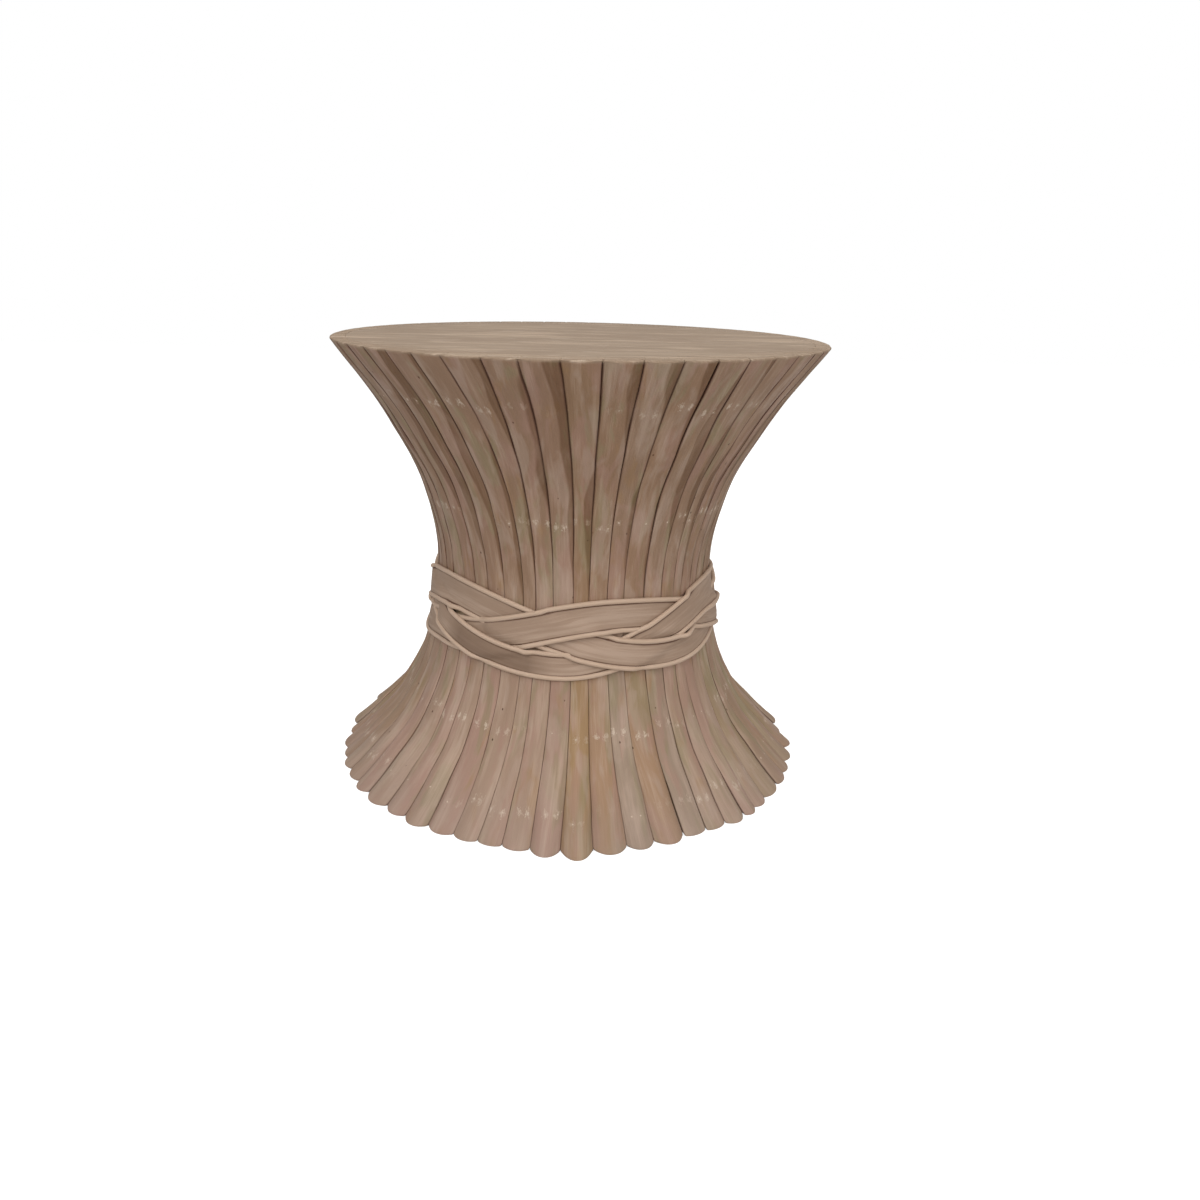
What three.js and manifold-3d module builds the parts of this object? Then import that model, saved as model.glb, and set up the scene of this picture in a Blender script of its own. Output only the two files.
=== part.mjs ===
import * as THREE from "three";
import Module from "manifold-3d";

// A pedestal side table shaped like a tied wheat sheaf. Split rattan poles stand side by side in a ring and
// flare out above and below a narrow waist, where three flat straps are plaited round them.
// Sizes are in millimetres. +Z is up, and the origin is the centre of the floor circle.

const tableHeight = 550;
const staveCount = 52;
const staveThickness = 16;
const staveGap = 0.8; // clear space between two neighbours
const commonReach = 314; // radius of the foot of a common stave, at the floor
const shortestReach = 305;
const rimInset = 13; // the worn top rim comes in by this much over the last stretch
const reachFade = 6; // how soon a foot of another reach blends into the common outline
const slopeSpan = 20; // the lean of a face is taken over this much height below and above
const wholeCrownWidth = 36; // a stave has its whole crown where it is this wide, and less where narrower
const crownNarrowing = 1.5;
const crownPower = 2.2; // 2 is an even arch, more has a flatter middle and rounder shoulders

// Outer radius of the sheaf at rising heights, measured at the crowns of the staves.
const sheafOutline = [
  [0, 314], [40, 272], [100, 223], [180, 192], [270, 181], [350, 193], [450, 238], [542, 301], [550, 307],
];

// The staves that the photograph shows, from left to right as it sees them. Each row has the angle of the
// stave's left seam at the floor, at the waist and at the rim, how far the foot reaches, and how much its
// face is crowned.
const seenStaves = [
  [-84, -87, -97, 318, 4], [-77, -80, -91, 318, 3], [-72, -75, -84.5, 321, 4], [-66, -68.5, -78, 321, 4],
  [-59.4, -62, -71, 323, 6], [-53.5, -55.5, -64, 323, 6], [-45.7, -47.5, -57, 319, 5],
  [-39.4, -41, -49, 320, 6], [-32.5, -34.4, -41.5, 316, 5], [-25.6, -26.7, -34, 314, 4],
  [-19.7, -18.7, -27, 312, 3], [-14, -13.8, -18.5, 313, 4], [-7.8, -7.1, -11.2, 320, 8],
  [-1.2, 0.3, -3.4, 324, 12], [6.1, 6.3, 4.4, 314, 8], [13.6, 13.4, 12, 310, 7], [20.4, 19.8, 20, 310, 8],
  [28, 28.3, 27.4, 305, 3], [34.1, 36.5, 34.6, 307, 3], [39.7, 42.7, 42, 313, 6], [45.9, 47.8, 50, 313, 6],
  [50.2, 53.5, 58, 311, 5], [56, 59, 64.5, 311, 4], [64, 66, 71.5, 312, 3], [70, 72, 78, 312, 4],
];
const lastSeenSeam = [76.5, 78.5, 85];
const waistHeight = 260; // where the middle one of a seam's three angles is measured

// The hidden staves are evenly spaced. Their reach and crown go up and down by a size, a step for each stave.
const hiddenReach = { middle: commonReach, size: 4, step: 2.3 };
const hiddenCrown = { middle: 6, size: 2, step: 1.7 };

const boardThickness = 22;
const boardSides = 40;

// Hoops nailed inside the staves, at the heights of the four rows of nail marks.
const hoopHeights = { foot: 32, lower: 105, upper: 358, head: 495 };
const hoopWidth = 20;
const hoopThickness = 12;
const hoopSides = 24;
const fitGap = 2.4; // the hoops and the board stay this far inside the staves' flat backs

// Each strap of the plait runs right round, and its two ends meet at the first row, on the far side.
// A row is a place where the strap turns: an angle, a height and the strap's width there.
const strapTurns = {
  a: [[-234, 251, 40], [-138, 191, 40], [-55, 249, 44], [42, 191, 38]],
  b: [[-165, 252, 40], [-85, 188, 40], [-55, 199, 44], [15, 245, 42], [105, 190, 40]],
  c: [[-195, 190, 40], [-122, 250, 40], [-5, 184, 34], [75, 256, 44]],
};
const liesOver = { a: "c", b: "a", c: "b" }; // at every crossing of the two
const strapThickness = 2.4;
const reedWidth = 5.2; // the round reed along each edge of a strap
const reedThickness = 3.6;
const strapLift = 1.6; // from the staves' crowns to the back of a strap that lies on them
const strapStack = 5; // from the middle of a strap to the middle of one that lies on it
const strapMargin = 2; // a strap stays up until it is this far past the edge of the one below
const strapFade = 12; // and comes down over this much more
const stackDepth = 2; // straps are never piled higher than this
const strapSteps = 40;
const slopeDegrees = 1; // the direction of a strap is taken over this much on either side
const strapEndGap = 0.5; // degrees left open where the two ends of a strap meet
const strapRoom = 0.3; // clear space where an under strap gives way to the one over it

const rad = THREE.MathUtils.degToRad;
const deg = THREE.MathUtils.radToDeg;
const clamp = THREE.MathUtils.clamp;
const lerp = THREE.MathUtils.lerp;

// Angle 0 faces -Y, and angles grow towards +X.
function place(radius, angle, height) {
  return [radius * Math.sin(rad(angle)), -radius * Math.cos(rad(angle)), height];
}

function outlineRadius(height) {
  let i = 1;
  while (i < sheafOutline.length - 1 && sheafOutline[i][0] < height) i++;
  const [z0, r0] = sheafOutline[i - 1];
  const [z1, r1] = sheafOutline[i];
  return lerp(r0, r1, (height - z0) / (z1 - z0));
}

// A thickness that is square to the leaning face measures longer along a level line, by this factor.
function slopeFactor(height) {
  const low = Math.max(0, height - slopeSpan);
  const high = Math.min(tableHeight, height + slopeSpan);
  return Math.hypot(1, (outlineRadius(high) - outlineRadius(low)) / (high - low));
}

// A foot that reaches further or less far than the common one blends into the outline towards the waist.
function crownRadius(height, reach) {
  return outlineRadius(height) + (reach - commonReach) * (1 - height / tableHeight) ** reachFade;
}

function backRadius(height, reach = shortestReach) {
  return crownRadius(height, reach) - staveThickness * slopeFactor(height);
}

// A closed body through rings of points. Every ring is one section, and cap lists a section's triangles.
function loft(rings, cap) {
  const count = rings[0].length;
  const index = [];
  for (let k = 0; k + 1 < rings.length; k++) {
    for (let j = 0; j < count; j++) {
      const a = k * count + j;
      const b = k * count + ((j + 1) % count);
      index.push(a, b, b + count, a, b + count, a + count);
    }
  }
  const last = (rings.length - 1) * count;
  for (const [a, b, c] of cap) {
    index.push(a, c, b, last + a, last + b, last + c);
  }
  const geometry = new THREE.BufferGeometry();
  geometry.setAttribute("position", new THREE.Float32BufferAttribute(rings.flat(2), 3));
  geometry.setIndex(index);
  geometry.computeVertexNormals();
  return geometry;
}

function named(name, geometry, color, roughness) {
  const material = new THREE.MeshStandardMaterial({ color, roughness, metalness: 0, flatShading: true });
  const mesh = new THREE.Mesh(geometry, material);
  mesh.name = name;
  return mesh;
}

const wasm = await Module();
wasm.setup();

// Two closed bodies can be subtracted as solids, and the result becomes a plain mesh again.
function toSolid(geometry) {
  const vertProperties = new Float32Array(geometry.getAttribute("position").array);
  const triVerts = new Uint32Array(geometry.getIndex().array);
  return new wasm.Manifold(new wasm.Mesh({ numProp: 3, vertProperties, triVerts }));
}

function toGeometry(solid) {
  const { vertProperties, triVerts } = solid.getMesh();
  const geometry = new THREE.BufferGeometry();
  geometry.setAttribute("position", new THREE.BufferAttribute(vertProperties, 3));
  geometry.setIndex(new THREE.BufferAttribute(triVerts, 1));
  geometry.computeVertexNormals();
  return geometry;
}

function wave({ middle, size, step }, i) {
  return middle + size * Math.sin(step * i);
}

function staveRows() {
  const hidden = staveCount - seenStaves.length;
  const rows = [...seenStaves];
  for (let i = 0; i < hidden; i++) {
    const seam = lastSeenSeam.map((angle, k) => lerp(angle, seenStaves[0][k] + 360, i / hidden));
    rows.push([...seam, wave(hiddenReach, i), wave(hiddenCrown, i)]);
  }
  return rows;
}

// A seam bends evenly through its three angles: at the floor, the waist and the rim.
function seamAngle([floor, waist, rim], height) {
  const t = height / tableHeight;
  const w = waistHeight / tableHeight;
  const floorPart = ((t - w) * (t - 1)) / w;
  const waistPart = (t * (t - 1)) / (w * (w - 1));
  const rimPart = (t * (t - w)) / (1 - w);
  return floor * floorPart + waist * waistPart + rim * rimPart;
}

// One split pole: a crowned face, square edges and a flat back, tapered to the waist between its two seams.
function staveGeometry(leftSeam, rightSeam, reach, crown) {
  const across = [-1, -0.5, 0.5, 1];
  const rings = sheafOutline.map(([height]) => {
    const left = seamAngle(leftSeam, height);
    const right = seamAngle(rightSeam, height);
    const radius = crownRadius(height, reach);
    const back = backRadius(height, reach);
    const middle = (left + right) / 2;
    const half = (right - left) / 2 - deg(staveGap / 2 / back);
    const narrowing = clamp((2 * rad(half) * radius) / wholeCrownWidth, 0, 1);
    const depth = crown * slopeFactor(height) * narrowing ** crownNarrowing;
    const outermost = height === tableHeight ? radius - rimInset : radius;
    const face = across.map((u) => {
      const bulge = radius - depth * Math.abs(u) ** crownPower;
      return place(Math.min(outermost, bulge), middle + u * half, height);
    });
    return [...face, place(back, middle + half, height), place(back, middle - half, height)];
  });
  return loft(rings, [[0, 1, 5], [1, 4, 5], [1, 2, 4], [2, 3, 4]]);
}

function staves() {
  const group = new THREE.Group();
  const rows = staveRows();
  rows.forEach((row, i) => {
    const leftSeam = row.slice(0, 3);
    const turn = i + 1 === staveCount ? 360 : 0;
    const rightSeam = rows[(i + 1) % staveCount].slice(0, 3).map((angle) => angle + turn);
    const [reach, crown] = row.slice(3);
    const geometry = staveGeometry(leftSeam, rightSeam, reach, crown);
    group.add(named(`stave_${String(i + 1).padStart(2, "0")}`, geometry, 0x8c7664, 0.7));
  });
  return group;
}

// LatheGeometry turns a profile about +Y, so the result is stood up onto +Z.
function turned(profile, sides) {
  const points = profile.map(([radius, height]) => new THREE.Vector2(radius, height));
  return new THREE.LatheGeometry(points, sides).rotateX(Math.PI / 2);
}

// The round board that fills the top, flush with the cut ends of the staves.
function topBoard() {
  const under = tableHeight - boardThickness;
  const profile = [
    [0, under], [backRadius(under) - fitGap, under], [backRadius(tableHeight) - fitGap, tableHeight],
    [0, tableHeight],
  ];
  return named("top_board", turned(profile, boardSides), 0xa59480, 0.6);
}

function hoops() {
  const group = new THREE.Group();
  for (const [where, height] of Object.entries(hoopHeights)) {
    const low = height - hoopWidth / 2;
    const high = height + hoopWidth / 2;
    const lowRadius = backRadius(low) - fitGap;
    const highRadius = backRadius(high) - fitGap;
    const profile = [
      [lowRadius - hoopThickness, low], [lowRadius, low], [highRadius, high],
      [highRadius - hoopThickness, high], [lowRadius - hoopThickness, low],
    ];
    group.add(named(`${where}_hoop`, turned(profile, hoopSides), 0x7d6654, 0.8));
  }
  return group;
}

// The height of a strap's middle line and its width. Both ease from each turn to the next.
function strapAt(name, angle) {
  const turns = strapTurns[name];
  const start = turns[0][0];
  const around = start + ((((angle - start) % 360) + 360) % 360);
  const closed = [...turns, [start + 360, turns[0][1], turns[0][2]]];
  const i = closed.findIndex(([turnAngle]) => turnAngle > around);
  const [a0, z0, w0] = closed[i - 1];
  const [a1, z1, w1] = closed[i];
  const share = (1 - Math.cos((Math.PI * (around - a0)) / (a1 - a0))) / 2;
  return { height: lerp(z0, z1, share), width: lerp(w0, w1, share) };
}

// How steeply a strap climbs, in radians.
function strapSlope(name, angle) {
  const before = strapAt(name, angle - slopeDegrees).height;
  const after = strapAt(name, angle + slopeDegrees).height;
  return Math.atan2(after - before, rad(2 * slopeDegrees) * outlineRadius(strapAt(name, angle).height));
}

// How far a point of the band lies outside a strap's edge. It is negative on the strap.
function outsideStrap(name, angle, height) {
  const { height: middle, width } = strapAt(name, angle);
  return Math.abs(height - middle) * Math.cos(strapSlope(name, angle)) - width / 2;
}

// How far a strap is held off the staves at a point: by the strap below it, with whatever that one lies on.
function strapLifted(name, angle, height, depth = stackDepth) {
  const below = liesOver[name];
  const past = outsideStrap(below, angle, height) - strapMargin;
  if (depth === 0 || past > strapFade) return 0;
  const { height: middle, width } = strapAt(below, angle);
  const nearest = clamp(height, middle - width / 2, middle + width / 2);
  const share = (1 + Math.cos((Math.PI * Math.max(0, past)) / strapFade)) / 2;
  return share * (strapStack + strapLifted(below, angle, nearest, depth - 1));
}

// A strap with its two edge reeds: a flat section that is thicker along both edges, lying on the staves.
// Where room is given, it is that much larger all round.
function strapGeometry(name, room = 0) {
  const start = strapTurns[name][0][0];
  const reed = reedThickness / 2 + room;
  const flat = strapThickness / 2 + room;
  const rings = [];
  for (let k = 0; k <= strapSteps; k++) {
    const angle = start + strapEndGap / 2 + (k * (360 - strapEndGap)) / strapSteps;
    const { height, width } = strapAt(name, angle);
    const slope = strapSlope(name, angle);
    const edge = width / 2 + room;
    const inner = edge - reedWidth;
    const section = [
      [edge, reed], [inner, flat], [0, flat], [-inner, flat], [-edge, reed],
      [-edge, -reed], [0, -flat], [edge, -reed],
    ];
    rings.push(section.map(([across, out]) => {
      const z = height + across * Math.cos(slope);
      const pointAngle = angle - deg((across * Math.sin(slope)) / outlineRadius(z));
      const lift = strapLift + reedThickness / 2 + out + strapLifted(name, pointAngle, z);
      return place(outlineRadius(z) + lift, pointAngle, z);
    }));
  }
  return loft(rings, [[0, 1, 7], [1, 2, 7], [2, 6, 7], [2, 5, 6], [2, 3, 5], [3, 4, 5]]);
}

// A strap gives way by strapRoom wherever it would run into the one that lies over it.
function plait() {
  const group = new THREE.Group();
  for (const [over, under] of Object.entries(liesOver)) {
    const cut = toSolid(strapGeometry(under)).subtract(toSolid(strapGeometry(over, strapRoom)));
    const [largest] = cut.decompose().sort((p, q) => q.volume() - p.volume());
    group.add(named(`strap_${under}`, toGeometry(largest), 0x967d6b, 0.65));
  }
  return group;
}

const table = new THREE.Group();
table.add(staves(), topBoard(), hoops(), plait());

export default table;
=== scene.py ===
# A round side table of split rattan poles that flare above and below a plaited waist, like a tied sheaf.
# Lengths inside the settings and the node trees are millimetres. The finished meshes are in metres.
import math
import random

import bpy
import numpy as np
from mathutils import Matrix, Vector
from mathutils.bvhtree import BVHTree


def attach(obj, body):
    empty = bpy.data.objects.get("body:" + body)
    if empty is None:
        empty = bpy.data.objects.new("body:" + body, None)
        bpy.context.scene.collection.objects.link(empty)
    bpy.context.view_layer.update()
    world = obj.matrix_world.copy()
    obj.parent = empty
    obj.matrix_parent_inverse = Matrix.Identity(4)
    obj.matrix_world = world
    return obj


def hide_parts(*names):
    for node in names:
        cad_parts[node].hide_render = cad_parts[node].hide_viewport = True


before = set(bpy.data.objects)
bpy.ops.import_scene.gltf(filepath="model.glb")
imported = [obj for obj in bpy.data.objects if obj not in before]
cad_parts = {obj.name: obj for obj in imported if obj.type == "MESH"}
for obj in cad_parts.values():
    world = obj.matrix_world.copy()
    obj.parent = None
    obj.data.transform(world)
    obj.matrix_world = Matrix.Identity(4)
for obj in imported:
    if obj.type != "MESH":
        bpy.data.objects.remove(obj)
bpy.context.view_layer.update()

body = "root"
metres = 0.001           # one millimetre, in metres
perMetre = 1000.0        # millimetres


class Wire:
    # a number that runs through a node tree, so that + - * / and the named sums below add Math nodes
    def __init__(self, tree, socket):
        self.tree = tree
        self.socket = socket

    def math(self, operation, *others):
        node = makeNode(self.tree, "ShaderNodeMath", operation=operation)
        for socket, value in zip(node.inputs, (self, *others)):
            plug(self.tree, socket, value)
        return Wire(self.tree, node.outputs[0])

    def __add__(self, other):
        return self.math("ADD", other)

    def __sub__(self, other):
        return self.math("SUBTRACT", other)

    def __mul__(self, other):
        return self.math("MULTIPLY", other)

    def __truediv__(self, other):
        return self.math("DIVIDE", other)

    def __pow__(self, other):
        return self.math("POWER", other)

    def __rsub__(self, other):
        return (self * -1.0) + other

    __radd__ = __add__
    __rmul__ = __mul__

    def sine(self):
        return self.math("SINE")

    def held(self):
        # held between 0 and 1
        return self.math("MAXIMUM", 0.0).math("MINIMUM", 1.0)

    def share(self, low, high):
        # 0 below low and 1 above high, with a soft start and end
        node = makeNode(self.tree, "ShaderNodeMapRange", {"Value": self, "From Min": low, "From Max": high},
                        interpolation_type="SMOOTHSTEP")
        return Wire(self.tree, node.outputs["Result"])


def plug(tree, socket, value):
    # a socket gets another node's output, or a plain value
    if isinstance(value, Wire):
        value = value.socket
    if isinstance(value, bpy.types.NodeSocket):
        tree.links.new(value, socket)
    else:
        socket.default_value = value


def makeNode(tree, kind, sockets=None, **settings):
    node = tree.nodes.new(kind)
    for name, value in settings.items():
        setattr(node, name, value)
    for name, value in (sockets or {}).items():
        plug(tree, node.inputs[name], value)
    return node


def makeTree(kind, name, inputs, outputs):
    # a node group with named sockets: inputs and outputs give each name its socket type
    tree = bpy.data.node_groups.new(name, kind)
    for inOut, sockets in (("INPUT", inputs), ("OUTPUT", outputs)):
        for socketName, socketType in sockets.items():
            tree.interface.new_socket(name=socketName, in_out=inOut, socket_type=socketType)
    entry = tree.nodes.new("NodeGroupInput")
    leave = tree.nodes.new("NodeGroupOutput")
    return tree, entry, leave


def wires(tree, node):
    # a node's outputs as wires, by name
    return {socket.name: Wire(tree, socket) for socket in node.outputs if socket.name}


def joined(tree, x, y, z=0.0):
    # three numbers as one vector
    return makeNode(tree, "ShaderNodeCombineXYZ", {"X": x, "Y": y, "Z": z}).outputs[0]


def split(tree, vector):
    node = makeNode(tree, "ShaderNodeSeparateXYZ", {"Vector": vector})
    return [Wire(tree, socket) for socket in node.outputs]


def stored(tree, geometry, name, value, kind="FLOAT"):
    # the geometry with an attribute of this name on its points
    node = makeNode(tree, "GeometryNodeStoreNamedAttribute",
                    {"Geometry": geometry, "Name": name, "Value": value}, data_type=kind)
    return node.outputs["Geometry"]


def recalled(tree, name, kind="FLOAT"):
    node = makeNode(tree, "GeometryNodeInputNamedAttribute", {"Name": name}, data_type=kind)
    return Wire(tree, node.outputs["Attribute"])


def swept(tree, rail, ring, railMeasure):
    # a closed tube of the ring along the rail. Its points know how far along and how far around they are
    spline = makeNode(tree, "GeometryNodeSplineParameter")
    alongRail = stored(tree, rail.outputs[0], "along", spline.outputs[railMeasure])
    aroundRing = stored(tree, ring.outputs[0], "around", spline.outputs["Factor"])
    return makeNode(tree, "GeometryNodeCurveToMesh",
                    {"Curve": alongRail, "Profile Curve": aroundRing, "Fill Caps": True})


def finishTree(tree, leave, geometry, material):
    # every piece's tree ends with its instances made real and its material put on
    solid = makeNode(tree, "GeometryNodeRealizeInstances", {"Geometry": geometry})
    dressed = makeNode(tree, "GeometryNodeSetMaterial", {"Geometry": solid.outputs[0], "Material": material})
    plug(tree, leave.inputs["Geometry"], dressed.outputs[0])


def grownMesh(name, tree, values, mesh=None):
    # runs a Geometry Nodes tree on a fresh object, and gives what it makes as a plain mesh
    host = bpy.data.objects.new(name + "Host", mesh or bpy.data.meshes.new(name + "Host"))
    bpy.context.scene.collection.objects.link(host)
    modifier = host.modifiers.new("grow", "NODES")
    modifier.node_group = tree
    for item in tree.interface.items_tree:
        if item.item_type == "SOCKET" and item.in_out == "INPUT" and item.name in values:
            modifier[item.identifier] = values[item.name]
    depsgraph = bpy.context.evaluated_depsgraph_get()
    grown = bpy.data.meshes.new_from_object(host.evaluated_get(depsgraph), preserve_all_data_layers=True,
                                            depsgraph=depsgraph)
    bpy.data.objects.remove(host)
    grown.name = name
    return grown


def addPiece(name, mesh, nodes, sharpDegrees=38):
    # a finished piece of the table: it rides on the body and stands for its CAD nodes
    mesh.set_sharp_from_angle(angle=math.radians(sharpDegrees))
    piece = bpy.data.objects.new(name, mesh)
    bpy.context.scene.collection.objects.link(piece)
    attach(piece, body)
    if nodes:
        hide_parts(*nodes)
    return piece


# The table's own outline: the outer radius at the poles' crowns, at rising heights.
sheaf = {
    "height": 550.0,
    "outline": [(0, 314), (40, 272), (100, 223), (180, 192), (270, 181), (350, 193), (450, 238), (542, 301),
                (550, 307)],
    "waistHeight": 260.0,
    "commonReach": 314.0,     # the reach of a foot that follows the outline
    "reachFade": 6.0,         # how soon a foot of another reach blends into it
    "slopeSpan": 8.0,         # the lean of a face is taken over this much height below and above
    "curveFloor": 160.0,      # the radius that stands for 0 on the outline's curve
    "curveSpan": 180.0,       # and how much more stands for 1
}


def outlineTree():
    tree, entry, leave = makeTree("GeometryNodeTree", "sheafOutline", {"Height": "NodeSocketFloat"},
                                  {"Radius": "NodeSocketFloat"})
    curve = makeNode(tree, "ShaderNodeFloatCurve")
    floor, span = sheaf["curveFloor"], sheaf["curveSpan"]
    points = curve.mapping.curves[0].points
    while len(points) < len(sheaf["outline"]):
        points.new(0.5, 0.5)
    for point, (height, radius) in zip(points, sheaf["outline"]):
        point.location = (height / sheaf["height"], (radius - floor) / span)
        point.handle_type = "AUTO"
    curve.mapping.extend = "EXTRAPOLATED"
    curve.mapping.update()
    plug(tree, curve.inputs["Value"], wires(tree, entry)["Height"] / sheaf["height"])
    plug(tree, leave.inputs["Radius"], Wire(tree, curve.outputs["Value"]) * span + floor)
    return tree


outlineGroup = outlineTree()
outlineCurve = next(node for node in outlineGroup.nodes if node.bl_idname == "ShaderNodeFloatCurve").mapping


def outlineRadius(height):
    share = outlineCurve.evaluate(outlineCurve.curves[0], height / sheaf["height"])
    return share * sheaf["curveSpan"] + sheaf["curveFloor"]


def leanFactor(height):
    # a thickness that is square to the leaning face measures longer along a level line, by this factor
    span = sheaf["slopeSpan"]
    rise = (outlineRadius(height + span) - outlineRadius(height - span)) / (2 * span)
    return math.hypot(1, rise)


def place(radius, angle, height):
    # millimetres and degrees made a point in metres
    turn = math.radians(angle)
    return (radius * math.sin(turn) * metres, -radius * math.cos(turn) * metres, height * metres)


# Colours as the screen shows them, from 0 to 255.
finish = {
    "wash": (182, 160, 143),
    "boardBase": (147, 127, 108),
    "boardWash": (170, 150, 131),
    "boardShade": (130, 114, 95),
    "strip": (158, 135, 117),
    "reed": (192, 168, 148),
    "bent": (128, 104, 84),
    # the crease colour darkens old pits, and is painted shade along the seams and strip edges, with dirt in the
    # seams
    "crease": (60, 27, 14),
    "rosy": (162, 130, 116),
    "mossy": (140, 130, 100),
    "honey": (152, 120, 82),
    "dusty": (170, 149, 134),
    "footGrey": (146, 128, 118),
    # the darker colour the poles take with height, painted shade for the downward-facing upper flare
    "paintedShade": (142, 114, 92),
    # the darker colour of a strap's stretch that lies in the shadow of the straps above it: a painted shadow
    "stainAndShadow": (112, 90, 74),
    "putty": (196, 178, 160),
}


def linearColor(screen):
    # screen values of 0 to 255 as the linear light that the nodes want
    def channel(value):
        share = value / 255
        return share / 12.92 if share <= 0.04045 else ((share + 0.055) / 1.055) ** 2.4
    return (*[channel(value) for value in screen], 1.0)


def mixed(tree, share, first, second, blend="MIX"):
    # of a Mix node's sockets, colours use these
    node = makeNode(tree, "ShaderNodeMix", data_type="RGBA", blend_type=blend)
    for socket, value in zip((node.inputs[0], node.inputs[6], node.inputs[7]), (share, first, second)):
        plug(tree, socket, value)
    return node.outputs[2]


def noiseAt(tree, spot, scale=1.0, detail=2.0, roughness=0.55, distortion=0.0):
    node = makeNode(tree, "ShaderNodeTexNoise", {"Vector": spot, "Scale": scale, "Detail": detail,
                                                 "Roughness": roughness, "Distortion": distortion})
    return Wire(tree, node.outputs[0])


def weighed(grain, weights):
    # the sum of the grain's masks, each by its weight
    return sum(grain[name] * weight for name, weight in weights.items())


# The masks of the grain: how fine each is across and along the fibres, and its detail.
grainScales = {
    "Fibre": (1.6, 0.045, 3.0),
    "Streak": (0.32, 0.012, 3.0),
    "Patch": (0.07, 0.011, 2.0),
}
grainEdge = (0.3, 0.7)   # the noise where a mask starts, and is whole
seedScale = 5.3          # how far apart the noise of two seeds lies


def grainGroup():
    # fibres, streaks and patches that run along the grain, from millimetres across and along it
    tree, entry, leave = makeTree(
        "ShaderNodeTree", "fibreGrain",
        {name: "NodeSocketFloat" for name in ("Across", "Along", "Seed", "Coarseness")},
        {name: "NodeSocketFloat" for name in grainScales})
    given = wires(tree, entry)
    for name, (acrossScale, alongScale, detail) in grainScales.items():
        spot = joined(tree, given["Across"] * acrossScale / given["Coarseness"],
                      given["Along"] * alongScale / given["Coarseness"], given["Seed"] * seedScale)
        mask = noiseAt(tree, spot, detail=detail, roughness=0.6, distortion=0.2)
        plug(tree, leave.inputs[name], mask.share(*grainEdge))
    return tree


wash = {
    "dark": (0.62, 0.56, 0.5, 1),       # what the base is multiplied by where the fibres are dark
    "darkShare": 0.42,
    "ground": {"Fibre": 0.25, "Streak": 0.3, "Patch": 0.45},
    "cover": {"Fibre": 0.2, "Streak": 0.45, "Patch": 0.5},
    "coverEdge": (0.5, 1.05),           # where the wash starts to cover, and covers wholly
}


def washGroup():
    # a thin pale wash rubbed along the grain, over darker fibres and tinted patches
    tree, entry, leave = makeTree(
        "ShaderNodeTree", "greyWash",
        {"Base": "NodeSocketColor", "Wash": "NodeSocketColor", "Amount": "NodeSocketFloat",
         **{name: "NodeSocketFloat" for name in grainScales}},
        {"Color": "NodeSocketColor", "Cover": "NodeSocketFloat"})
    given = wires(tree, entry)
    dark = mixed(tree, wash["darkShare"], given["Base"], wash["dark"], "MULTIPLY")
    ground = mixed(tree, weighed(given, wash["ground"]), dark, given["Base"])
    cover = weighed(given, wash["cover"]).share(*wash["coverEdge"]) * given["Amount"]
    plug(tree, leave.inputs["Color"], mixed(tree, cover, ground, given["Wash"]))
    plug(tree, leave.inputs["Cover"], cover)
    return tree


fibreGrain = grainGroup()
greyWash = washGroup()


def useGroup(tree, group, **values):
    return wires(tree, makeNode(tree, "ShaderNodeGroup", values, node_tree=group))


def washed(tree, base, pale, amount, grain):
    # a base colour under the wash: its Color, and how far it is covered
    return useGroup(tree, greyWash, Base=base, Wash=linearColor(finish[pale]), Amount=amount, **grain)


def newMaterial(name):
    material = bpy.data.materials.new(name)
    material.use_nodes = True
    shader = material.node_tree.nodes["Principled BSDF"]
    shader.inputs["Specular IOR Level"].default_value = 0.15      # old and matt
    return material, material.node_tree, shader


def attribute(tree, name):
    return makeNode(tree, "ShaderNodeAttribute", attribute_name=name)


def objectSpot(tree):
    return makeNode(tree, "ShaderNodeTexCoord").outputs["Object"]


def raised(tree, shader, height, distance):
    bump = makeNode(tree, "ShaderNodeBump", {"Height": height, "Distance": distance, "Strength": 0.5})
    plug(tree, shader.inputs["Normal"], bump.outputs["Normal"])


# The nails: up to two in each pole at every hoop. Their places sway with the pole's seed.
nails = {
    "heights": (32.0, 105.0, 358.0, 495.0),
    "spread": (6.0, 1.5, 0.9),          # from the pole's middle line: mean, sway, and how fast it sways
    "shift": (3.0, 1.3, 2.1),           # sway, with the seed, and from row to row
    "rise": (4.5, 2.7, 1.7),
    "edgeRoom": 3.0,
    "bareShare": 0.55,                  # of the nails, those whose heads show. Filler covers the others
    "headRadius": 1.1,
    "headSize": (0.75, 0.5),            # of that radius, the least and what chance adds
    "headSeed": 4,
    "flatness": 0.25,
    "castFrom": 40.0,                   # outside the outline, where a nail starts on its way in
}


def nailPlace(row, seed, sine):
    # half the way between the two nails of a row, and how far both are moved across and up. The seed is a
    # number or a wire, and sine is the one that fits it
    mean, sway, speed = nails["spread"]
    spread = sine(seed * speed + row) * sway + mean
    shift, rise = [sine(seed * bySeed + row * byRow) * size
                   for size, bySeed, byRow in (nails["shift"], nails["rise"])]
    return spread, shift, rise


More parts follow.
